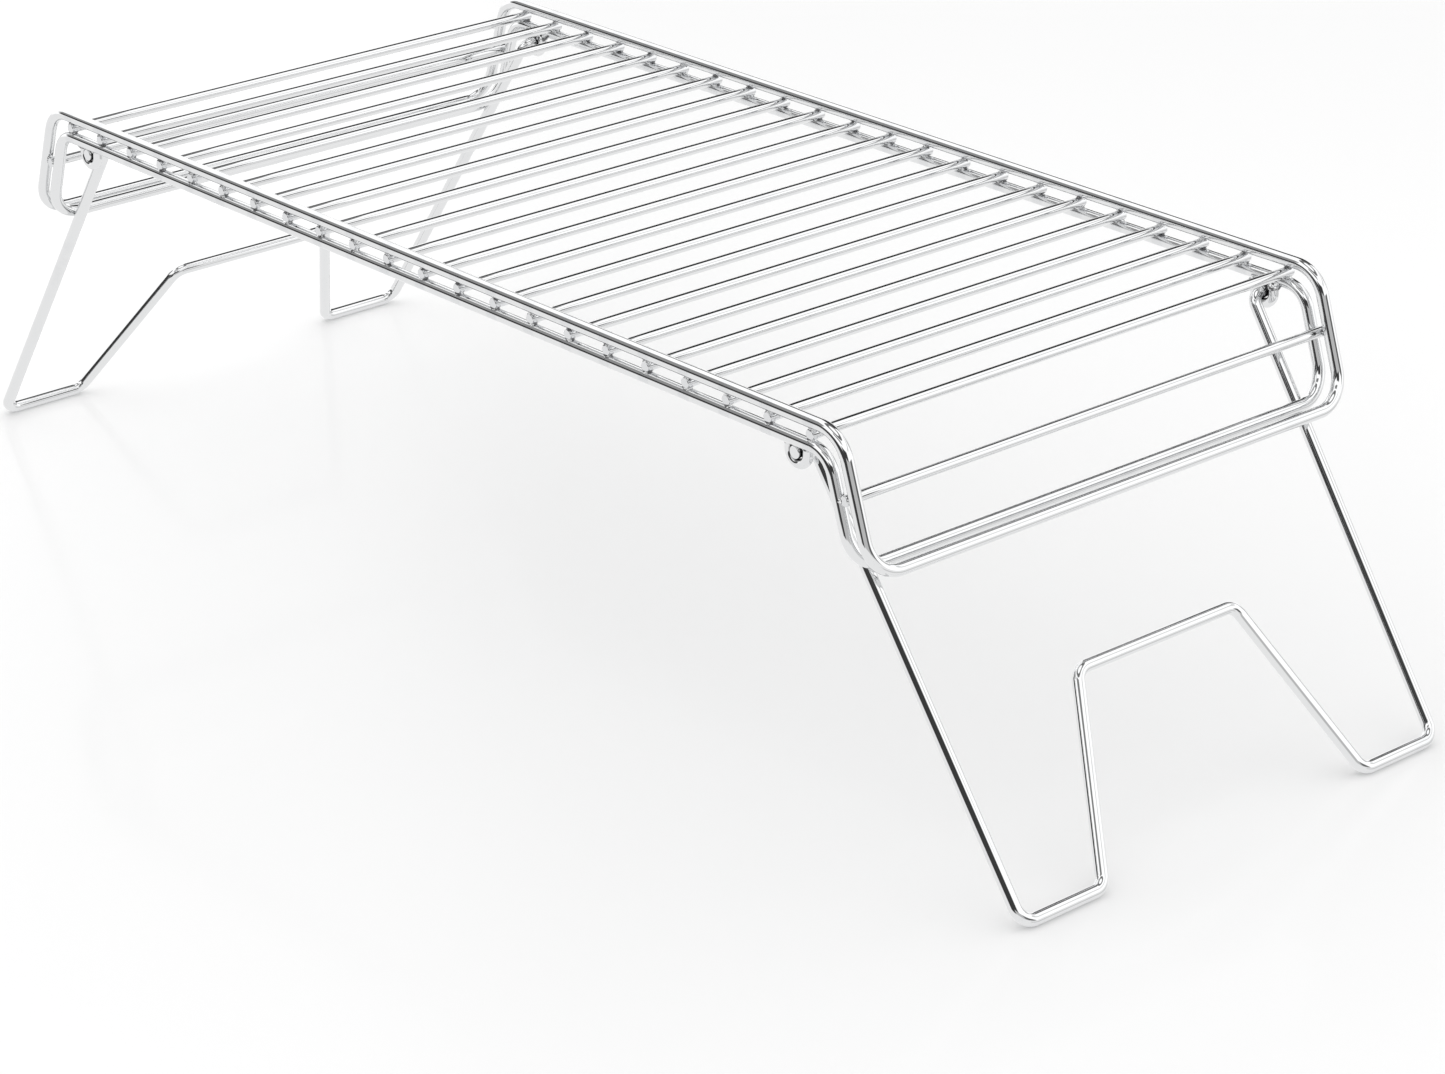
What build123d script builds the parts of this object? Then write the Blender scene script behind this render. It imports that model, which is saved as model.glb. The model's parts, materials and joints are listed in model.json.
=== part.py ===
from math import asin, atan2, cos, degrees, hypot, radians, sin, tan
import os

from build123d import *

# Folding camp grill of chrome-plated steel wire, in millimetres.
# The origin is on the ground, under the middle of the grate: +X runs along the grate to the
# right leg, +Y to the rear side wire and +Z up. The legs stand open, against their stops.

# Whole grill
overall_length = 610.0        # over the end bars of the upper frame
overall_width = 288.0         # over the side wires of the upper frame
overall_height = 194.0        # from the ground to the top of the upper frame

# Wire sizes
frame_wire = 5.7              # both frames
leg_wire = 5.7               # both legs
bar_wire = 4.8                # grid bars and end rails
eyelet_wire = 4.5             # leg eyelets
weld_bite = 0.1               # how far two wires bed into each other at a welded crossing

# Grid
bar_count = 22                # spread evenly over the straight of the lower side wires
bar_margin = 0.4              # from the middle of the last bar to where the wire under it bends
bar_end_inset = 1.0           # from the outside of the frames to the cut end of a bar
bar_end_chamfer = 0.4

# Sloping ends of the frames
end_drop = 57.0               # from the side wires down to the end bars, centre to centre
end_slope = 18.0              # degrees from vertical, outwards going down
rail_drop = 27.5              # from the upper side wires down to the end rail
upper_top_bend = 16.0         # bend radii are at the centre of the wire
lower_top_bend = 12.5
end_corner_bend = 15.5

# Legs
pivot_inset = 46.4            # from the upper frame's end bar in to the pivot, along X
pivot_gap = 0.4               # between a leg's pin and the side wire over it
stop_gap = 0.3                # between an open leg and the line of the end bar that it leans on
strand_lean = 4.0             # how far the outer strand comes in from its pin down to its foot
foot_length = 46.5            # between the outer and inner strands, at the ground
raised_half_width = 47.5      # half of the raised middle part
raised_height = 73.5          # height of the raised middle part over the ground
pin_overhang = 0.5            # pin past the outer side of its eyelet
pin_shoulder = 0.4            # straight pin between its bend and its eyelet
pin_bend = 5.5
leg_bend = 7.5
pin_end_chamfer = 0.6

# Eyelets
eyelet_clearance = 0.4        # round the pin, inside the eyelet
eyelet_inset = 2.5            # from the middle of the side wire, towards the middle of the grill

# Places worked out from the sizes above
layer_offset = frame_wire + bar_wire - 2 * weld_bite
side_y = (overall_width - frame_wire) / 2
upper_z = overall_height - frame_wire / 2
lower_z = upper_z - layer_offset
bar_z = upper_z - layer_offset / 2
end_z = upper_z - end_drop
end_x = (overall_length - frame_wire) / 2
lean = tan(radians(end_slope))
offset_x = layer_offset / cos(radians(end_slope))
pivot_x = end_x - pivot_inset
pivot_z = lower_z - frame_wire / 2 - pivot_gap - leg_wire / 2
eyelet_y = side_y - eyelet_inset
strand_y = eyelet_y - eyelet_wire / 2 - pin_shoulder - pin_bend
foot_y = strand_y - strand_lean


def drop_x(z, inset):
    """X of a point on a sloping end, inset along X from the upper frame's own slope."""
    return end_x - (z - end_z) * lean - inset


def leg_splay():
    """Angle of an open leg from vertical, in radians, where it meets the lower end bar."""
    across = drop_x(end_z, offset_x) - pivot_x
    down = pivot_z - end_z
    reach = (leg_wire + frame_wire) / 2 + stop_gap
    return atan2(across, down) - asin(reach / hypot(across, down))


splay = leg_splay()
leg_length = (pivot_z - leg_wire / 2) / cos(splay)


def bent_wire(path, diameter):
    """Round wire swept along a path of straight runs and tangent bends."""
    section = Plane(origin=path @ 0, z_dir=path % 0) * Circle(diameter / 2)
    return sweep(section, path=path)


def frame_loop(top_z, inset, top_bend):
    """One frame: a closed loop with two side wires and a sloping drop at each end."""
    top_x = drop_x(top_z, inset)
    low_x = drop_x(end_z, inset)
    half = [(top_x, -side_y, top_z), (low_x, -side_y, end_z), (low_x, side_y, end_z), (top_x, side_y, top_z)]
    other_half = [(-x, -y, z) for x, y, z in half]
    radii = [top_bend, end_corner_bend, end_corner_bend, top_bend] * 2
    path = FilletPolyline(*half, *other_half, radius=radii, close=True)
    return bent_wire(path, frame_wire)


def cross_bar(x, z):
    """A straight bar across the grill, bedded between the two frames."""
    length = overall_width - 2 * bar_end_inset
    bar = Rot(90, 0, 0) * Cylinder(bar_wire / 2, length)
    bar = chamfer(bar.edges().filter_by(GeomType.CIRCLE), bar_end_chamfer)
    return Pos(x, 0, z) * bar - upper_frame - lower_frame


def leg_point(side, y, along):
    """A point on a leg, with along measured down the leg from its pin."""
    return (side * (pivot_x + along * sin(splay)), y, pivot_z - along * cos(splay))


def leg(side):
    """One leg, bent from a single wire: pin, outer strand, foot, raised middle and back."""
    pin_y = eyelet_y + eyelet_wire / 2 + pin_overhang
    raised_along = (pivot_z - raised_height) / cos(splay)
    half = [
        (pin_y, 0),
        (strand_y, 0),
        (foot_y, leg_length),
        (foot_y - foot_length, leg_length),
        (raised_half_width, raised_along),
    ]
    front = [leg_point(side, -y, along) for y, along in half]
    rear = [leg_point(side, y, along) for y, along in reversed(half)]
    radii = [pin_bend, leg_bend, leg_bend, leg_bend]
    path = FilletPolyline(*front, *rear, radius=radii + radii[::-1])
    wire = bent_wire(path, leg_wire)
    rims = wire.edges().filter_by(GeomType.CIRCLE).sort_by(Axis.Y)
    return chamfer([rims[0], rims[-1]], pin_end_chamfer)


def eyelet(x, y):
    """A wire bent to a U round a leg's pin, with its ends coped to the lower side wire."""
    half_width = (leg_wire + eyelet_wire) / 2 + eyelet_clearance
    path = Wire(
        [
            Edge.make_line((x - half_width, y, lower_z), (x - half_width, y, pivot_z)),
            Edge.make_three_point_arc(
                (x - half_width, y, pivot_z), (x, y, pivot_z - half_width), (x + half_width, y, pivot_z)
            ),
            Edge.make_line((x + half_width, y, pivot_z), (x + half_width, y, lower_z)),
        ]
    )
    return bent_wire(path, eyelet_wire) - lower_frame


def write(shape, node):
    export_step(shape, f"parts/{node}.step")


os.makedirs("parts", exist_ok=True)

upper_frame = frame_loop(upper_z, 0, upper_top_bend)
lower_frame = frame_loop(lower_z, offset_x, lower_top_bend)
write(upper_frame, "upper_frame")
write(lower_frame, "lower_frame")

bend_start_x = drop_x(lower_z, offset_x) - lower_top_bend * tan(radians(90 - end_slope) / 2)
last_bar_x = bend_start_x - bar_margin
bar_pitch = 2 * last_bar_x / (bar_count - 1)
for index in range(bar_count):
    write(cross_bar(index * bar_pitch - last_bar_x, bar_z), f"grid_bar_{index + 1:02d}")

rail_z = upper_z - rail_drop
rail_x = drop_x(rail_z, offset_x / 2)
for side, side_name in ((-1, "left"), (1, "right")):
    write(cross_bar(side * rail_x, rail_z), f"{side_name}_end_rail")
    write(leg(side), f"{side_name}_leg")
    for row, row_name in ((-1, "front"), (1, "rear")):
        write(eyelet(side * pivot_x, row * eyelet_y), f"{side_name}_{row_name}_eyelet")

print(f"bar pitch {bar_pitch:.2f}, leg splay {degrees(splay):.2f} deg, pivot x {pivot_x:.2f} z {pivot_z:.2f}")
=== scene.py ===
import json
import math
import random

import bmesh
import bpy
from mathutils import Matrix, Vector


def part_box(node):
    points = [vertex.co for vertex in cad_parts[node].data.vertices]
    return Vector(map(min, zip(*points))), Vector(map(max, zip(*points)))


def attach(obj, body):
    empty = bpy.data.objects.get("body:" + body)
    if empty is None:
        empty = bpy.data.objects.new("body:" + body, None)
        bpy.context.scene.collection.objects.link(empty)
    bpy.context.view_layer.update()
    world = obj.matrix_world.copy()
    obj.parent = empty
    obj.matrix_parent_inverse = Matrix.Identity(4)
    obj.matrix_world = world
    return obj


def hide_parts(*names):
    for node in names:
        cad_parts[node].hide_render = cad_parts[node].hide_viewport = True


bl_info = {
    "name": "Folding Camp Grill",
    "version": (1, 0, 0),
    "blender": (4, 5, 0),
    "location": "3D View > Sidebar > Camp Grill",
    "description": "Bent, welded and chromed wire for a folding camp grill, on a studio floor",
    "category": "Object",
}

MM = 0.001

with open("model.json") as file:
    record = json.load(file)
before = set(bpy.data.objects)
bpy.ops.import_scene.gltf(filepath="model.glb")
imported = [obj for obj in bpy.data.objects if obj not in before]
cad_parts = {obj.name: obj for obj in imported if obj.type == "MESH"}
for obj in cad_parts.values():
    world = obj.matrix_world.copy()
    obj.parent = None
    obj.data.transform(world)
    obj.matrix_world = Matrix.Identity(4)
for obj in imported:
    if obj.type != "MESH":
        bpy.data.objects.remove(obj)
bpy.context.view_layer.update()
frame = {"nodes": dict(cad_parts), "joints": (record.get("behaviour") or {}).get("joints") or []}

BARS = sorted(node for node in frame["nodes"] if node.startswith("grid_bar_"))
RAILS = ["left_end_rail", "right_end_rail"]
EYELETS = [f"{side}_{row}_eyelet" for side in ("left", "right") for row in ("front", "rear")]
SIDES = {"left": -1, "right": 1}


# Settings that a user may change


def length(name, default, description):
    """A size in metres, given here in millimetres."""
    return bpy.props.FloatProperty(
        name=name, default=default * MM, min=0.0, description=description,
        subtype="DISTANCE", unit="LENGTH", precision=5,
    )


def angle(name, degrees, description):
    return bpy.props.FloatProperty(
        name=name, default=math.radians(degrees), description=description,
        subtype="ANGLE", unit="ROTATION",
    )


def share(name, default, description):
    return bpy.props.FloatProperty(
        name=name, default=default, min=0.0, max=1.0, description=description, subtype="FACTOR",
    )


def brightness(name, default, description):
    return bpy.props.FloatProperty(name=name, default=default, min=0.0, description=description)


def colour(name, default, description):
    return bpy.props.FloatVectorProperty(
        name=name, default=default, size=3, min=0.0, max=1.0, description=description,
        subtype="COLOR",
    )


class CampGrillWire(bpy.types.PropertyGroup):
    """Diameters and bends of the wire."""

    frame_wire: length("Frame wire", 5.7, "Diameter of both closed frames")
    leg_wire: length("Leg wire", 5.7, "Diameter of both legs")
    bar_wire: length("Bar wire", 4.8, "Diameter of the grid bars and end rails")
    eyelet_wire: length("Eyelet wire", 4.5, "Diameter of the leg eyelets")
    end_slope: angle("End slope", 18.0, "Lean of the sloping ends, outwards from vertical")
    upper_top_bend: length("Upper bend", 16.0, "Radius from the upper side wires to the sloping ends")
    lower_top_bend: length("Lower bend", 12.5, "Radius from the lower side wires to the sloping ends")
    end_corner_bend: length("End corner", 15.5, "Radius from the sloping ends to the end bars")
    pin_bend: length("Pin bend", 5.5, "Radius from a leg's pin to its outer strand")
    leg_bend: length("Leg bend", 7.5, "Radius at a leg's foot and raised middle")
    strand_top: length("Strand at the pin", 130.5, "Outer strand from the leg's middle, at the pin")
    strand_foot: length("Strand at the foot", 126.5, "Outer strand from the leg's middle, at the foot")
    foot_inner: length("Foot, inner end", 80.0, "Inner end of a foot from the middle of the leg")
    raised_half_width: length("Raised half width", 47.5, "Half of the raised middle part of a leg")
    raised_height: length("Raised height", 73.5, "Height of the raised middle over the ground")
    end_bevel: length("Cut end bevel", 0.4, "Worn edge round each sheared end")
    sides: bpy.props.IntProperty(
        name="Sides", default=32, min=12, max=64, description="Faces round a wire",
    )


class CampGrillWelds(bpy.types.PropertyGroup):
    """Size and raggedness of the resistance welds."""

    along_wire: length("Along the frame wire", 2.15, "Reach of a weld along the frame wire")
    along_bar: length("Along the bar", 2.45, "Reach of a weld along the bar")
    waist: share("Waist", 0.72, "Width of a weld half-way between its two wires")
    bead: length("Eyelet bead", 3.1, "Reach of the weld at an eyelet's end")
    ragged: share("Raggedness", 0.10, "Uneven edge of the squeezed metal")
    seed: bpy.props.IntProperty(name="Seed", default=7, description="Pattern of the uneven edges")


class CampGrillChrome(bpy.types.PropertyGroup):
    """Colour and polish of the plating."""

    plate: colour("Plate", (0.80, 0.805, 0.81), "Reflected colour of clean chrome")
    haze: colour("Haze", (0.66, 0.67, 0.69), "Reflected colour where the plating is thin and dull")
    # Painted shade in the eyelets and on the legs' pins, and the colour of real scale on the welds.
    shade_and_scale: colour("Grime", (0.16, 0.16, 0.165), "Grease and scale in the eyelets and on the welds")
    polish: share("Polish", 0.035, "Roughness of clean chrome")
    dull: share("Dull", 0.16, "Roughness of dull plating")


class CampGrillStudio(bpy.types.PropertyGroup):
    """Floor, light and camera."""

    # The floor near the grill, darker than the far floor as a painted soft shadow round shade_x and
    # shade_y.
    painted_shadow_floor_colour: colour("Floor", (0.88, 0.88, 0.88), "Glossy white floor in front of the grill")
    floor_far_colour: colour("Far floor", (0.96, 0.96, 0.96), "Glossy white floor away from the grill")
    shade_x: length("Shade, to the right", 150.0, "Middle of the shaded floor from the grill's middle")
    shade_y: length("Shade, to the front", 200.0, "Middle of the shaded floor from the grill's middle")
    floor_gloss: share("Floor roughness", 0.12, "Roughness of the floor's gloss")
    room_white: brightness("Room white", 1.3, "Brightness of the white room in the chrome")
    room_dark: brightness("Room dark", 0.05, "Brightness of the dark gaps in the chrome")
    backdrop: brightness("Backdrop", 1.13, "Brightness of the backdrop and of its light on the floor")
    azimuth: angle("Azimuth", 48.918, "Camera round the grill, from the front towards the right leg")
    elevation: angle("Elevation", 23.501, "Camera over the horizon")
    roll: angle("Roll", -0.403, "Camera turned about its own axis")
    distance: length("Distance", 1984.6, "Camera from its aim")
    aim_height: length("Aim height", 100.0, "Height of the aim before it is moved sideways")
    aim_right: length("Aim right", 33.1, "Aim moved to the camera's right")
    aim_down: length("Aim down", 78.9, "Aim moved down in the camera's view")
    lens_mm: bpy.props.FloatProperty(
        name="Lens", default=105.05, min=1.0, description="Focal length, mm",
    )


# Places read from the frame


def centre_and_size(node):
    low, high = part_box(node)
    return (low + high) / 2, high - low


def loop_places(node, wire):
    """Centre lines of one frame: side wires' y and z, end bars' x and z, and where the slope starts."""
    low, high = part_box(node)
    radius = wire.frame_wire / 2
    side_y, top_z = high.y - radius, high.z - radius
    end_x, end_z = high.x - radius, low.z + radius
    top_x = end_x - (top_z - end_z) * math.tan(wire.end_slope)
    return side_y, top_z, end_x, end_z, top_x


def pivot_of(side):
    for joint in frame["joints"]:
        if joint["child"] == f"{side}_leg":
            return Vector(joint["pos_m"])
    raise RuntimeError(f"no joint turns the {side} leg")


# Wire, grown from a ring of vertices

BEND_STEP = 6.0  # degrees from ring to ring in a bend
EYELET_STEP = 7.5  # the same in an eyelet
RUN_PIECES = 4  # rings in a straight run
END_SEGMENTS = 3  # rings over the worn edge of a cut end
MIRROR_GAP = 0.01 * MM  # halves nearer than this are joined
SAME_PLACE = 0.005 * MM  # vertices nearer than this are one


def ring_matrix(place, direction):
    """Turns a ring lying flat round Z to face along direction, at place."""
    return Matrix.Translation(place) @ direction.to_track_quat("Z", "Y").to_matrix().to_4x4()


def grown_ring(mesh, edges):
    """Extrudes a ring of edges on the spot, and gives the new vertices and edges."""
    grown = bmesh.ops.extrude_edge_only(mesh, edges=edges)["geom"]
    verts = [part for part in grown if isinstance(part, bmesh.types.BMVert)]
    return verts, [part for part in grown if isinstance(part, bmesh.types.BMEdge) and part.is_boundary]


class Wire:
    """A round wire. Straight runs are extruded and bends are spun, and each point keeps where it is
    on the wire: round it, as a cosine and a sine, and along it, in metres."""

    def __init__(self, start, towards, diameter, sides):
        self.mesh = bmesh.new()
        self.layer = self.mesh.verts.layers.float_vector.new("on_wire")
        circle = bmesh.ops.create_circle(self.mesh, segments=sides, radius=diameter / 2)["verts"]
        for vert in circle:
            turn = vert.co.normalized()
            vert[self.layer] = (turn.x, turn.y, 0.0)
        self.place = Vector(start)
        self.heading = (Vector(towards) - self.place).normalized()
        bmesh.ops.transform(self.mesh, matrix=ring_matrix(self.place, self.heading), verts=circle)
        self.rim = list(self.mesh.edges)

    def run(self, distance, pieces=1):
        """A straight run, with a ring at the end of each piece."""
        step = distance / pieces
        for _ in range(pieces):
            verts, self.rim = grown_ring(self.mesh, self.rim)
            bmesh.ops.translate(self.mesh, vec=self.heading * step, verts=verts)
            for vert in verts:
                vert[self.layer].z += step
            self.place = self.place + self.heading * step

    def bend(self, new_heading, radius, degrees_a_step=BEND_STEP):
        """A bend to a new heading, about an axis at the bend's centre."""
        axis = self.heading.cross(new_heading).normalized()
        turn = self.heading.angle(new_heading)
        centre = self.place + axis.cross(self.heading) * radius
        before = set(self.mesh.verts)
        last = bmesh.ops.spin(
            self.mesh, geom=self.rim, cent=centre, axis=axis, angle=turn,
            steps=max(2, round(math.degrees(turn) / degrees_a_step)),
            use_merge=False, use_duplicate=False,
        )["geom_last"]
        from_centre = self.place - centre
        for vert in self.mesh.verts:
            if vert not in before:
                offset = vert.co - centre
                in_plane = offset - axis * offset.dot(axis)
                vert[self.layer].z += from_centre.angle(in_plane) * radius
        self.rim = [part for part in last if isinstance(part, bmesh.types.BMEdge)]
        self.place = centre + Matrix.Rotation(turn, 3, axis) @ from_centre
        self.heading = new_heading.normalized()

    def follow(self, corners, radii):
        """Runs and bends through corners, from the present place to the last corner."""
        for corner, beyond, radius in zip(corners, corners[1:], radii):
            new_heading = (beyond - corner).normalized()
            back = radius * math.tan(self.heading.angle(new_heading) / 2)
            self.run((corner - self.place).length - back, RUN_PIECES)
            self.bend(new_heading, radius)
        self.run((corners[-1] - self.place).length, RUN_PIECES)

    def close_end(self, bevel):
        """A flat sheared end with a worn edge."""
        cap = bmesh.ops.contextual_create(self.mesh, geom=self.rim)["faces"]
        bmesh.ops.bevel(
            self.mesh, geom=self.rim, offset=bevel, offset_type="OFFSET", segments=END_SEGMENTS,
            profile=0.5, affect="EDGES", material=-1, clamp_overlap=True,
        )
        faces = [face for face in cap if face.is_valid]
        bmesh.ops.inset_region(self.mesh, faces=faces, thickness=bevel / 2)

    def mirrored(self, axis, offset=0.0):
        """The other half, joined on at the mirror plane, which is offset from the middle."""
        across = {"X": Vector((1, 0, 0)), "Y": Vector((0, 1, 0))}[axis]
        geometry = self.mesh.verts[:] + self.mesh.edges[:] + self.mesh.faces[:]
        to_plane = Matrix.Translation(across * -offset)
        bmesh.ops.mirror(self.mesh, geom=geometry, matrix=to_plane, merge_dist=MIRROR_GAP, axis=axis)

    def shown(self, name):
        """The finished wire as an object."""
        bmesh.ops.remove_doubles(self.mesh, verts=self.mesh.verts, dist=SAME_PLACE)
        return as_object(self.mesh, name)


def as_object(mesh, name):
    """A bmesh as a smooth-shaded object at the origin, its faces outwards and its flat ends flat."""
    bmesh.ops.recalc_face_normals(mesh, faces=mesh.faces)
    for face in mesh.faces:
        face.smooth = len(face.verts) <= 4
    data = bpy.data.meshes.new(name)
    mesh.to_mesh(data)
    mesh.free()
    made = bpy.data.objects.new(name, data)
    bpy.context.scene.collection.objects.link(made)
    return made


def fit_out(piece, body, slot, material, *nodes):
    """Gives a piece its material and its body, and hides the CAD nodes that it stands for."""
    piece.data.materials.clear()
    piece.data.materials.append(material)
    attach(piece, body)
    if nodes:
        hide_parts(*nodes)


# Shader nodes


class Value:
    """A shader socket that takes part in Python arithmetic. Each sum adds its Math node."""

    def __init__(self, graph, socket):
        self.graph = graph
        self.socket = socket

    def math(self, operation, *others):
        inputs = dict(enumerate((self, *others)))
        return self.graph.node("ShaderNodeMath", {"operation": operation}, inputs)

    def __add__(self, other):
        return self.math("ADD", other)

    def __sub__(self, other):
        return self.math("SUBTRACT", other)

    def __rsub__(self, other):
        return self.graph.node("ShaderNodeMath", {"operation": "SUBTRACT"}, {0: other, 1: self})

    def __mul__(self, other):
        return self.math("MULTIPLY", other)

    def __truediv__(self, other):
        return self.math("DIVIDE", other)

    def __abs__(self):
        return self.math("ABSOLUTE")

    __radd__ = __add__
    __rmul__ = __mul__

    def step(self, start, end):
        """Rises smoothly from 0 at start to 1 at end, or falls if start is the larger."""
        low, high, first, last = (start, end, 0.0, 1.0) if start < end else (end, start, 1.0, 0.0)
        return self.graph.node(
            "ShaderNodeMapRange", {"interpolation_type": "SMOOTHSTEP"},
            {"Value": self, "From Min": low, "From Max": high, "To Min": first, "To Max": last},
        )

    def between(self, low, high, soft):
        """1 between low and high, fading to 0 over soft on both sides."""
        return self.step(low - soft, low) * self.step(high + soft, high)


class Graph:
    """The nodes of one material or world."""

    def __init__(self, tree):
        self.tree = tree
        tree.nodes.clear()

    def node(self, kind, settings=None, inputs=None, output=0):
        """Adds a node, sets it, and then sets or links its sockets. A socket goes by its name, or by
        its number where several share a name, and a colour is given as red, green and blue."""
        made = self.tree.nodes.new(kind)
        for name, value in (settings or {}).items():
            setattr(made, name, value)
        for name, value in (inputs or {}).items():
            socket = made.inputs[name]
            if isinstance(value, Value):
                self.tree.links.new(value.socket, socket)
            elif socket.type == "RGBA":
                socket.default_value = (*value, 1.0)
            else:
                socket.default_value = value
        return Value(self, made.outputs[output]) if made.outputs else None

    def parts(self, vector):
        """X, Y and Z of a vector."""
        x = self.node("ShaderNodeSeparateXYZ", inputs={"Vector": vector})
        return [Value(self, socket) for socket in x.socket.node.outputs]

    def mix(self, factor, first, second):
        """A colour between two colours."""
        inputs = {0: factor, 6: first, 7: second}
        return self.node("ShaderNodeMix", {"data_type": "RGBA"}, inputs, output=2)

    def noise(self, vector, scale, detail, roughness=0.5):
        return self.node(
            "ShaderNodeTexNoise", {"noise_dimensions": "3D"},
            {"Vector": vector, "Scale": scale, "Detail": detail, "Roughness": roughness},
        )


def new_material(name):
    material = bpy.data.materials.new(name)
    material.use_nodes = True
    return material, Graph(material.node_tree)


# Chrome

# Noise patterns, as their scale, detail and roughness, and the noise where each fades in and is full
DRAWN_ROUND, DRAWN_ALONG = 9.0, 14.0  # draw marks are counted round the wire, and a metre along it
DRAW_MARKS = 2.2, 4.0, 0.6
HAZE, HAZE_EDGE = (38.0, 5.0, 0.62), (0.52, 0.74)
SPECKS, SPECK_EDGE = (1400.0, 2.0), (0.66, 0.74)
WELD_SCALE, WELD_SCALE_EDGE = (420.0, 2.0), (0.44, 0.56)

# How much each mark dulls, lifts or roughens the plating
HAZE_DULLS, SPECK_DULLS, PATCH_DULLS = 0.30, 0.25, 0.35
MARK_LIFTS, SPECK_LIFTS, BUMP, BUMP_HEIGHT = 0.8, 0.3, 0.12, 0.02 * MM
MARK_ROUGHENS, SHADE_AND_SCALE_ROUGHENS = 0.02, 0.25

# Distances where a patch fades in and where it is full
BAR_WELD_EDGE = 4.5 * MM, 2.2 * MM  # from a grid bar, along a side wire
LAST_BAR_EDGE = 6.0 * MM, 3.0 * MM  # past the last grid bar
SIDE_WIRE_EDGE = 4.8 * MM, 2.5 * MM  # from a side wire, along a bar
# The next four are edges of painted shade, inside the eyelets and on the pins.
EYELET_EDGE = 1.4 * MM, 0.4 * MM  # from the inside of an eyelet, outwards
PIN_NEAR_EDGE = 6.0 * MM, 5.0 * MM  # from a leg's pivot line
PIN_ROUND_EDGE = 2.2 * MM, 2.6 * MM  # the same, which leaves out the pin's flat end
PIN_END_EDGE = -0.2 * MM, -0.8 * MM  # from an eyelet's side, along the pin
FOOT_EDGE = 3.5 * MM, 0.8 * MM  # from the ground


def chrome(name, dull_patch=None, shade_and_scale_patch=None):
    """Bright chrome on drawn wire: long faint draw marks, a little haze, duller plating where
    dull_patch(graph, place) is 1, and a dark colour where the second patch function gives 1: painted
    shade in the eyelets and round the pins, and scale on the welds."""
    finish = bpy.context.scene.camp_grill_chrome
    material, graph = new_material(name)
    on_wire = graph.node("ShaderNodeAttribute", {"attribute_name": "on_wire"}, output="Vector")
    place = graph.node("ShaderNodeTexCoord", output="Object")
    round_x, round_y, along = graph.parts(on_wire)
    drawn = graph.node("ShaderNodeCombineXYZ", inputs={
        "X": round_x * DRAWN_ROUND, "Y": round_y * DRAWN_ROUND, "Z": along * DRAWN_ALONG,
    })
    draw_marks = graph.noise(drawn, *DRAW_MARKS)
    haze = graph.noise(place, *HAZE).step(*HAZE_EDGE)
    specks = graph.noise(place, *SPECKS).step(*SPECK_EDGE)
    dull = haze * HAZE_DULLS + specks * SPECK_DULLS
    if dull_patch is not None:
        dull = dull + dull_patch(graph, place) * PATCH_DULLS
    dull = dull.math("MINIMUM", 1.0)
    bump = graph.node("ShaderNodeBump", inputs={
        "Strength": BUMP, "Distance": BUMP_HEIGHT,
        "Height": draw_marks * MARK_LIFTS + specks * SPECK_LIFTS,
    })
    plating = graph.mix(dull, finish.plate, finish.haze)
    smoothest = finish.polish - MARK_ROUGHENS / 2
    roughness = dull * (finish.dull - finish.polish) + draw_marks * MARK_ROUGHENS + smoothest
    if shade_and_scale_patch is not None:
        # The dark colour below is painted shade in the eyelets and on the pins, and scale on the welds.
        shade_and_scale = shade_and_scale_patch(graph, place)
        plating = graph.mix(shade_and_scale, plating, finish.shade_and_scale)
        roughness = roughness + shade_and_scale * SHADE_AND_SCALE_ROUGHENS
    surface = graph.node("ShaderNodeBsdfPrincipled", inputs={
        "Base Color": plating, "Metallic": 1.0, "Roughness": roughness, "Normal": bump,
    })
    graph.node("ShaderNodeOutputMaterial", inputs={"Surface": surface})
    return material


def near_grid_welds(graph, place):
    """1 on the frames' side wires beside each grid bar."""
    x, _, _ = graph.parts(place)
    first, _ = centre_and_size(BARS[0])
    last, _ = centre_and_size(BARS[-1])
    pitch = (last.x - first.x) / (len(BARS) - 1)
    pitches = (x - first.x) / pitch + 0.5
    from_bar = abs(pitches.math("FRACT") - 0.5) * pitch
    inside = (abs(x) - last.x).step(*LAST_BAR_EDGE)
    return from_bar.step(*BAR_WELD_EDGE) * inside


def near_side_wires(graph, place):
    """1 on the bars' ends, where they lie between the side wires."""
    _, y, _ = graph.parts(place)
    side_y, *_ = loop_places("upper_frame", bpy.context.scene.camp_grill_wire)
    return abs(abs(y) - side_y).step(*SIDE_WIRE_EDGE)


def weld_scale(graph, place):
    """1 in patches over a weld, where scale shows through the plating."""
    return graph.noise(place, *WELD_SCALE).step(*WELD_SCALE_EDGE)


def from_pivots(graph, place):
    """Distance from the nearer leg's pivot line, in metres."""
    x, _, z = graph.parts(place)
    pivot = pivot_of("right")
    across, up = abs(x) - pivot.x, z - pivot.z
    return (across * across + up * up).math("SQRT")


def painted_shade_in_the_eyelets(graph, place):
    """1 on the inside of an eyelet, round the pin, where the chrome gets painted shade."""
    _, size = centre_and_size(EYELETS[0])
    inside = size.x / 2 - bpy.context.scene.camp_grill_wire.eyelet_wire
    return (from_pivots(graph, place) - inside).step(*EYELET_EDGE)


def painted_shade_on_the_pins(graph, place):
    """1 on the part of a pin that turns in its eyelet, short of its end, where the chrome gets painted
    shade.
    """
    _, y, _ = graph.parts(place)
    centre, size = centre_and_size(EYELETS[0])
    past_eyelet = abs(abs(y) - abs(centre.y)) - size.y / 2
    from_pivot = from_pivots(graph, place)
    return (past_eyelet.step(*PIN_END_EDGE)
            * from_pivot.step(*PIN_NEAR_EDGE) * from_pivot.step(*PIN_ROUND_EDGE))


def at_the_feet(graph, place):
    """1 on the underside of the feet."""
    _, _, z = graph.parts(place)
    return z.step(*FOOT_EDGE)


# Pieces


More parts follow.
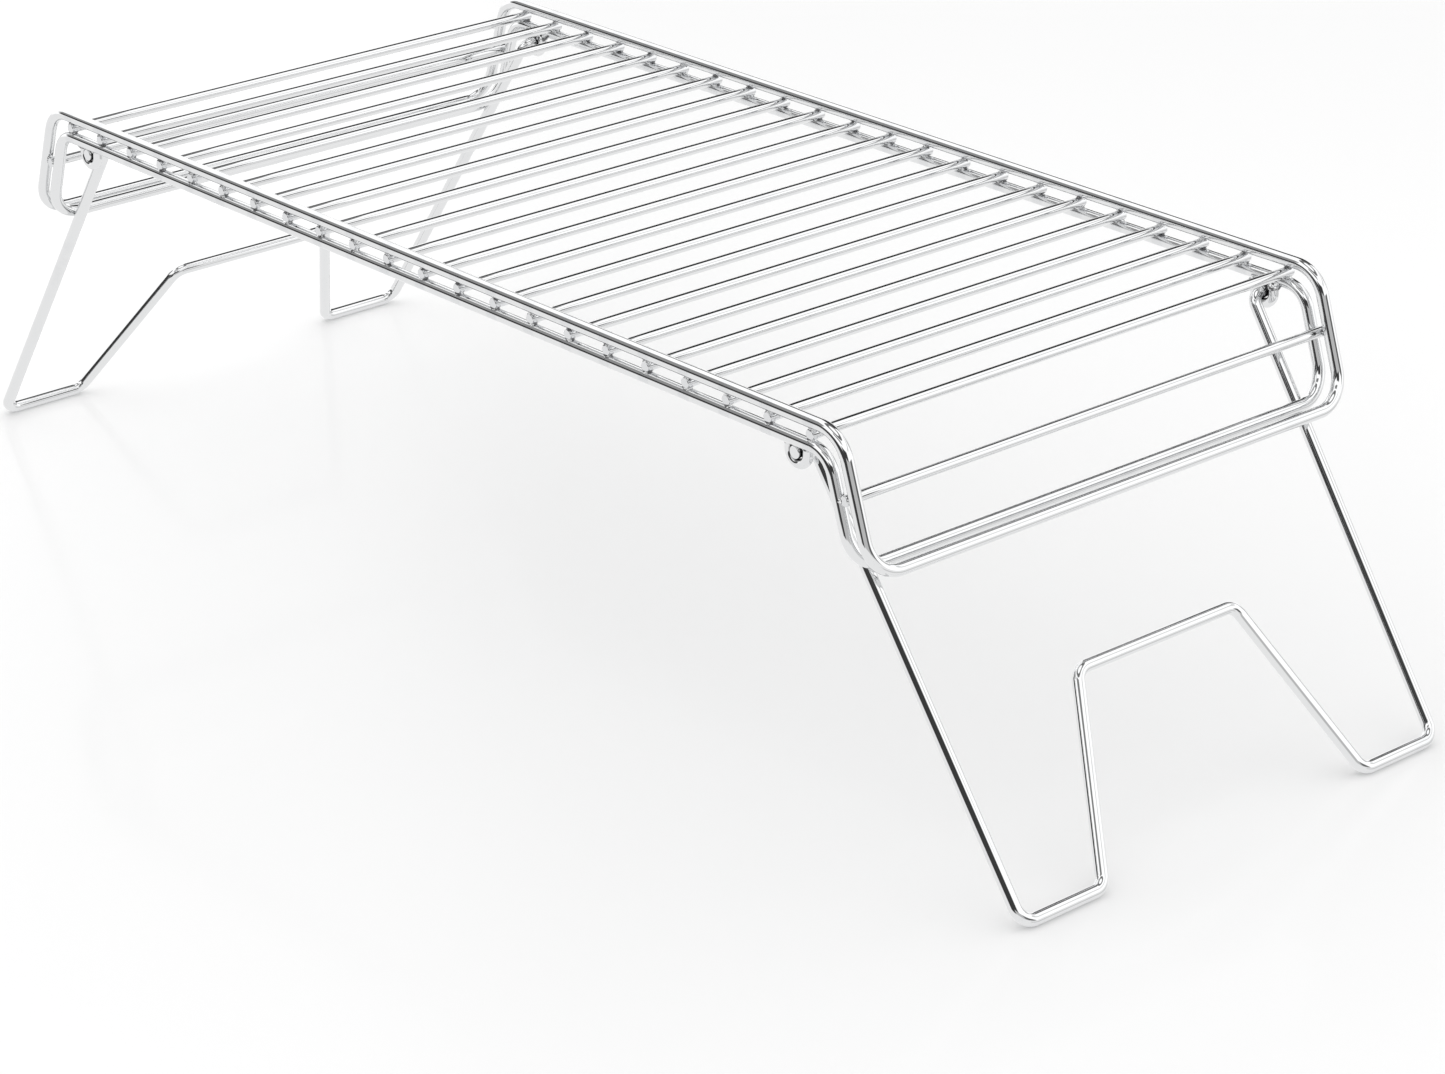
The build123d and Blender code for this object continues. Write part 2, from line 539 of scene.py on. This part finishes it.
class CAMPGRILL_OT_frames(bpy.types.Operator):
    """Bend both closed frame wires: a quarter of each, mirrored twice"""

    bl_idname = "campgrill.frames"
    bl_label = "Frame Wires"

    def execute(self, context):
        wire = context.scene.camp_grill_wire
        material = chrome("frame_chrome", dull_patch=near_grid_welds)
        top_bends = {"upper_frame": wire.upper_top_bend, "lower_frame": wire.lower_top_bend}
        for node, top_bend in top_bends.items():
            side_y, top_z, end_x, end_z, top_x = loop_places(node, wire)
            corners = [
                Vector((top_x, -side_y, top_z)),
                Vector((end_x, -side_y, end_z)),
                Vector((end_x, 0, end_z)),
            ]
            quarter = Wire(Vector((0, -side_y, top_z)), corners[0], wire.frame_wire, wire.sides)
            quarter.follow(corners, [top_bend, wire.end_corner_bend])
            quarter.mirrored("X")
            quarter.mirrored("Y")
            fit_out(quarter.shown(node + "_wire"), "grate", "frame_chrome", material, node)
        return {"FINISHED"}


class CAMPGRILL_OT_bars(bpy.types.Operator):
    """Cut the grid bars and the end rails to length"""

    bl_idname = "campgrill.bars"
    bl_label = "Bars and Rails"

    def execute(self, context):
        wire = context.scene.camp_grill_wire
        material = chrome("bar_chrome", dull_patch=near_side_wires)
        for node in BARS + RAILS:
            centre, size = centre_and_size(node)
            end = Vector((centre.x, size.y / 2, centre.z))
            half = Wire(Vector((centre.x, 0, centre.z)), end, wire.bar_wire, wire.sides)
            half.follow([end], [])
            half.close_end(wire.end_bevel)
            half.mirrored("Y")
            fit_out(half.shown(node + "_wire"), "grate", "bar_chrome", material, node)
        return {"FINISHED"}


class CAMPGRILL_OT_legs(bpy.types.Operator):
    """Bend each leg from one wire: half of it, mirrored"""

    bl_idname = "campgrill.legs"
    bl_label = "Legs"

    def execute(self, context):
        wire = context.scene.camp_grill_wire
        # The pins are darkened where they turn in the eyelets: painted shade.
        material = chrome("leg_chrome", dull_patch=at_the_feet, shade_and_scale_patch=painted_shade_on_the_pins)
        radius = wire.leg_wire / 2
        across = Vector((0, 1, 0))
        for side, sign in SIDES.items():
            node = f"{side}_leg"
            low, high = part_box(node)
            pivot = pivot_of(side)
            foot = Vector((sign * (max(abs(low.x), abs(high.x)) - radius), 0, radius))
            down = (foot - pivot).normalized()
            raised = pivot + down * ((pivot.z - wire.raised_height) / -down.z)
            corners = [
                raised + across * wire.raised_half_width,
                foot + across * wire.foot_inner,
                foot + across * wire.strand_foot,
                pivot + across * wire.strand_top,
                pivot + across * high.y,
            ]
            half = Wire(raised, corners[0], wire.leg_wire, wire.sides)
            half.follow(corners, [wire.leg_bend] * 3 + [wire.pin_bend])
            half.close_end(wire.end_bevel)
            half.mirrored("Y")
            fit_out(half.shown(node + "_wire"), node, "leg_chrome", material, node)
        return {"FINISHED"}


class CAMPGRILL_OT_eyelets(bpy.types.Operator):
    """Bend the eyelets that hold the legs' pins"""

    bl_idname = "campgrill.eyelets"
    bl_label = "Eyelets"

    def execute(self, context):
        wire = context.scene.camp_grill_wire
        # The insides of the eyelets are darkened round the pins as painted shade.
        material = chrome("eyelet_chrome", shade_and_scale_patch=painted_shade_in_the_eyelets)
        for node in EYELETS:
            centre, size = centre_and_size(node)
            low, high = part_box(node)
            half_width = (size.x - wire.eyelet_wire) / 2
            bottom = Vector((centre.x, centre.y, low.z + wire.eyelet_wire / 2))
            side = bottom + Vector((half_width, 0, 0))
            top = Vector((side.x, side.y, high.z))
            half = Wire(bottom, side, wire.eyelet_wire, wire.sides)
            half.bend(Vector((0, 0, 1)), half_width, EYELET_STEP)
            half.run((top - half.place).length, pieces=2)
            half.close_end(wire.end_bevel)
            half.mirrored("X", offset=centre.x)
            fit_out(half.shown(node + "_wire"), "grate", "eyelet_chrome", material, node)
        return {"FINISHED"}


# Rows of a collar, from the frame wire to the bar: how far each flares out, and its level
COLLAR_ROWS = ((1.0, 1.0), (0.5, 0.45), (0.0, 0.0), (0.5, -0.45), (1.0, -1.0))
COLLAR_SIDES = 12
GRIP = 0.15 * MM  # how far a weld reaches into its wires

BEAD_SEGMENTS, BEAD_RINGS = 18, 10
BEAD_HEIGHT = 0.62  # of its reach


def weld_collar(mesh, place, normal, along, wire_radius, bar_radius, welds, rng):
    """A saddle of squeezed metal round the contact of two crossed wires. normal points from the bar
    to the other wire, and along is that wire's direction."""
    lobes, phase = rng.choice((2, 3, 4)), rng.uniform(0, 2 * math.pi)
    verts = bmesh.ops.create_circle(mesh, segments=COLLAR_SIDES, radius=1.0)["verts"]
    edges = list({edge for vert in verts for edge in vert.link_edges})
    first_rim, rows = edges, [verts]
    for _ in COLLAR_ROWS[1:]:
        verts, edges = grown_ring(mesh, edges)
        rows.append(verts)
    bmesh.ops.contextual_create(mesh, geom=first_rim)
    bmesh.ops.contextual_create(mesh, geom=edges)
    axes = Matrix((along, normal.cross(along), normal)).transposed()
    to_place = Matrix.Translation(place) @ axes.to_4x4()
    for verts, (flare, level) in zip(rows, COLLAR_ROWS):
        width = welds.waist + (1.0 - welds.waist) * flare
        for vert in verts:
            turn = math.atan2(vert.co.y, vert.co.x)
            reach = width * (1.0 + welds.ragged * math.sin(lobes * turn + phase))
            x = math.cos(turn) * welds.along_wire * reach
            y = math.sin(turn) * welds.along_bar * reach
            up = wire_radius - math.sqrt(wire_radius**2 - y * y) + GRIP
            down = bar_radius - math.sqrt(bar_radius**2 - x * x) + GRIP
            vert.co = to_place @ Vector((x, y, (up - down) / 2 + (up + down) / 2 * level))


def eyelet_bead(mesh, place, welds, rng):
    """A drop of weld metal where an eyelet's end meets the frame wire."""
    lobes, phase = rng.choice((2, 3)), rng.uniform(0, 2 * math.pi)
    verts = bmesh.ops.create_uvsphere(
        mesh, u_segments=BEAD_SEGMENTS, v_segments=BEAD_RINGS, radius=1.0,
    )["verts"]
    for vert in verts:
        turn = math.atan2(vert.co.y, vert.co.x)
        reach = welds.bead * (1.0 + welds.ragged * math.sin(lobes * turn + phase))
        vert.co.x *= reach
        vert.co.y *= reach
        vert.co.z *= welds.bead * BEAD_HEIGHT
    bmesh.ops.translate(mesh, vec=place, verts=verts)


class CAMPGRILL_OT_welds(bpy.types.Operator):
    """Weld the bars and rails between the frames, and the eyelets under the lower frame"""

    bl_idname = "campgrill.welds"
    bl_label = "Welds"

    def execute(self, context):
        wire, welds = context.scene.camp_grill_wire, context.scene.camp_grill_welds
        rng = random.Random(welds.seed)
        side_y, *_ = loop_places("upper_frame", wire)
        _, lower_z, *_ = loop_places("lower_frame", wire)
        radii = wire.frame_wire / 2, wire.bar_wire / 2
        bar_welds, rail_welds, eyelet_welds = bmesh.new(), bmesh.new(), bmesh.new()
        for bar in BARS:
            centre, _ = centre_and_size(bar)
            for y in (-side_y, side_y):
                for up in (Vector((0, 0, 1)), Vector((0, 0, -1))):
                    contact = Vector((centre.x, y, centre.z)) + up * wire.bar_wire / 2
                    weld_collar(bar_welds, contact, up, Vector((1, 0, 0)), *radii, welds, rng)
        lean, fall = math.sin(wire.end_slope), math.cos(wire.end_slope)
        for sign, rail in zip(SIDES.values(), RAILS):
            centre, _ = centre_and_size(rail)
            down = Vector((sign * lean, 0, -fall))
            outwards = Vector((sign * fall, 0, lean))
            for y in (-side_y, side_y):
                for normal in (outwards, -outwards):
                    contact = Vector((centre.x, y, centre.z)) + normal * wire.bar_wire / 2
                    weld_collar(rail_welds, contact, normal, down, *radii, welds, rng)
        for eyelet in EYELETS:
            centre, size = centre_and_size(eyelet)
            for end in (-1, 1):
                x = centre.x + end * (size.x - wire.eyelet_wire) / 2
                contact = Vector((x, centre.y, lower_z - wire.frame_wire / 2))
                eyelet_bead(eyelet_welds, contact, welds, rng)
        for mesh, name, slot in (
            (bar_welds, "bar_welds", "bar_chrome"),
            (rail_welds, "end_rail_welds", "bar_chrome"),
            (eyelet_welds, "eyelet_welds", "eyelet_chrome"),
        ):
            material = chrome(name + "_chrome", shade_and_scale_patch=weld_scale)
            fit_out(as_object(mesh, name), "grate", slot, material)
        return {"FINISHED"}


# Stage

FLOOR_REACH = 30.0  # metres from the middle of the floor to its sides
FLOOR_SPECULAR = 0.07
SHADE_EDGE = 0.1, 0.8  # metres from the middle of the shaded floor
FLOOR_CLOUD, FLOOR_CLOUD_ROUGHENS = (2.0, 2.0), 0.04
SENSOR_MM = 36.0
WHITE = 1.0, 1.0, 1.0

# The white room has dark gaps, given in degrees. Azimuth is 0 over the right leg and 90 behind the
# grill, and height is over the horizon. Each gap has its low and high azimuth and their softness,
# the same for its height, and how dark it is.
GAPS = {
    "beside_the_back_wall": ((105.0, 141.0, 4.0), (15.0, 58.0, 4.0), 1.0),
    "faint_line": ((20.0, 80.0, 14.0), (32.0, 38.0, 1.5), 0.42),
    "low_line": ((15.0, 75.0, 12.0), (-28.0, -18.0, 3.0), 0.5),
    "over_the_dark_side": ((-160.0, -130.0, 6.0), (16.0, 41.0, 4.0), 0.78),
    "right_flag": ((-62.0, -26.0, 12.0), (13.0, 30.0, 5.0), 1.0),
    "slit": ((2.0, 29.0, 5.0), (-2.0, 13.0, 3.0), 0.93),
    "grey_card": ((-52.0, 12.0, 4.0), (-6.0, 12.0, 3.0), 0.58),
    "back_wall_card": ((80.0, 102.0, 4.0), (3.0, 19.0, 4.0), 0.6),
    "round_the_ceiling": ((-180.0, 180.0, 4.0), (62.0, 72.0, 3.0), 0.9),
    "over_the_front": ((-92.0, -44.0, 8.0), (45.0, 54.0, 3.0), 0.85),
}
BELOW_HORIZON, BELOW_DARKNESS = (2.0, -4.0), 0.27

# The dark side lies in front of the grill, most of it to the left. Its foot is level as far as a
# corner, and rises to the left of it.
DARK_SIDE = -150.0, -56.0, 4.0
DARK_SIDE_TOP = 25.0, 17.0
DARK_SIDE_FOOT, DARK_SIDE_CORNER, DARK_SIDE_RISE = -11.0, -112.0, -0.45
DARK_SIDE_FOOT_EDGE = -3.0, 3.0


class CAMPGRILL_OT_stage(bpy.types.Operator):
    """Lay the floor, light it and set the camera"""

    bl_idname = "campgrill.stage"
    bl_label = "Stage"

    def execute(self, context):
        studio = context.scene.camp_grill_studio
        make_floor(studio)
        light_room(studio)
        set_camera(studio)
        context.scene.view_settings.view_transform = "Standard"
        return {"FINISHED"}


def make_floor(studio):
    """Glossy white paper with a painted soft shadow near the grill. The chrome doesn't mirror it:
    mirrored light passes through it, to the slightly darker part of the room below the horizon."""
    mesh = bmesh.new()
    bmesh.ops.create_grid(mesh, x_segments=1, y_segments=1, size=FLOOR_REACH)
    floor = as_object(mesh, "floor")
    floor.visible_glossy = False
    material, graph = new_material("floor_white")
    place = graph.node("ShaderNodeTexCoord", output="Object")
    from_shade = graph.node(
        "ShaderNodeVectorMath", {"operation": "DISTANCE"},
        {0: place, 1: (studio.shade_x, -studio.shade_y, 0)}, output="Value",
    )
    # The floor darkens towards the middle of the shaded floor: a painted soft shadow.
    paper = graph.mix(from_shade.step(*SHADE_EDGE), studio.painted_shadow_floor_colour, studio.floor_far_colour)
    smoothest = studio.floor_gloss - FLOOR_CLOUD_ROUGHENS / 2
    surface = graph.node("ShaderNodeBsdfPrincipled", inputs={
        "Base Color": paper,
        "Roughness": graph.noise(place, *FLOOR_CLOUD) * FLOOR_CLOUD_ROUGHENS + smoothest,
        "Specular IOR Level": FLOOR_SPECULAR,
    })
    graph.node("ShaderNodeOutputMaterial", inputs={"Surface": surface})
    floor.data.materials.append(material)


def light_room(studio):
    """A plain white backdrop, which lights the floor, and a white room with dark gaps in it, which
    is seen only in mirrored light and gives the chrome its dark lines."""
    world = bpy.data.worlds.new("white_room")
    bpy.context.scene.world = world
    world.use_nodes = True
    graph = Graph(world.node_tree)
    x, y, z = graph.parts(graph.node("ShaderNodeTexCoord", output="Generated"))
    azimuth = y.math("ARCTAN2", x) * math.degrees(1.0)
    height = z.math("ARCSINE") * math.degrees(1.0)
    past_corner = (azimuth - DARK_SIDE_CORNER).math("MINIMUM", 0.0)
    foot = past_corner * DARK_SIDE_RISE + DARK_SIDE_FOOT
    dark = azimuth.between(*DARK_SIDE) * height.step(*DARK_SIDE_TOP)
    dark = dark * (height - foot).step(*DARK_SIDE_FOOT_EDGE)
    dark = dark.math("MAXIMUM", height.step(*BELOW_HORIZON) * BELOW_DARKNESS)
    for across, up, darkness in GAPS.values():
        gap = azimuth.between(*across) * height.between(*up) * darkness
        dark = dark.math("MAXIMUM", gap)
    strength = dark * (studio.room_dark - studio.room_white) + studio.room_white
    mirrored = graph.node("ShaderNodeLightPath", output="Is Glossy Ray")
    room = graph.node("ShaderNodeBackground", inputs={"Color": WHITE, "Strength": strength})
    plain = graph.node("ShaderNodeBackground", inputs={"Color": WHITE, "Strength": studio.backdrop})
    shown = graph.node("ShaderNodeMixShader", inputs={0: mirrored, 1: plain, 2: room})
    graph.node("ShaderNodeOutputWorld", inputs={"Surface": shown})


def set_camera(studio):
    """Looks at the grill from its front right corner, from above."""
    azimuth, elevation = studio.azimuth, studio.elevation
    level = Vector((math.cos(azimuth), math.sin(azimuth), 0))
    back = Vector((
        math.sin(azimuth) * math.cos(elevation),
        -math.cos(azimuth) * math.cos(elevation),
        math.sin(elevation),
    ))
    turned = Matrix.Rotation(studio.roll, 3, back)
    right, up = turned @ level, turned @ back.cross(level)
    aim = Vector((0, 0, studio.aim_height)) + right * studio.aim_right - up * studio.aim_down
    data = bpy.data.cameras.new("camera")
    data.lens = studio.lens_mm
    data.sensor_width = SENSOR_MM
    camera = bpy.data.objects.new("camera", data)
    axes = Matrix((right, up, back)).transposed()
    camera.matrix_world = Matrix.Translation(aim + back * studio.distance) @ axes.to_4x4()
    bpy.context.scene.collection.objects.link(camera)
    bpy.context.scene.camera = camera


class CAMPGRILL_PT_sidebar(bpy.types.Panel):
    """Lists the pieces in the order they are made"""

    bl_idname = "CAMPGRILL_PT_sidebar"
    bl_label = "Camp Grill"
    bl_space_type = "VIEW_3D"
    bl_region_type = "UI"
    bl_category = "Camp Grill"

    def draw(self, context):
        for maker in MAKERS:
            self.layout.operator(maker.bl_idname)


MAKERS = (
    CAMPGRILL_OT_frames,
    CAMPGRILL_OT_bars,
    CAMPGRILL_OT_legs,
    CAMPGRILL_OT_eyelets,
    CAMPGRILL_OT_welds,
    CAMPGRILL_OT_stage,
)
SETTINGS = {
    "camp_grill_wire": CampGrillWire,
    "camp_grill_welds": CampGrillWelds,
    "camp_grill_chrome": CampGrillChrome,
    "camp_grill_studio": CampGrillStudio,
}


def register():
    for name, group in SETTINGS.items():
        bpy.utils.register_class(group)
        setattr(bpy.types.Scene, name, bpy.props.PointerProperty(type=group))
    for maker in (*MAKERS, CAMPGRILL_PT_sidebar):
        bpy.utils.register_class(maker)


def unregister():
    for maker in (*MAKERS, CAMPGRILL_PT_sidebar):
        bpy.utils.unregister_class(maker)
    for name, group in SETTINGS.items():
        delattr(bpy.types.Scene, name)
        bpy.utils.unregister_class(group)


def main():
    register()
    for maker in MAKERS:
        group, name = maker.bl_idname.split(".")
        getattr(getattr(bpy.ops, group), name)()


if __name__ == "__main__":
    main()
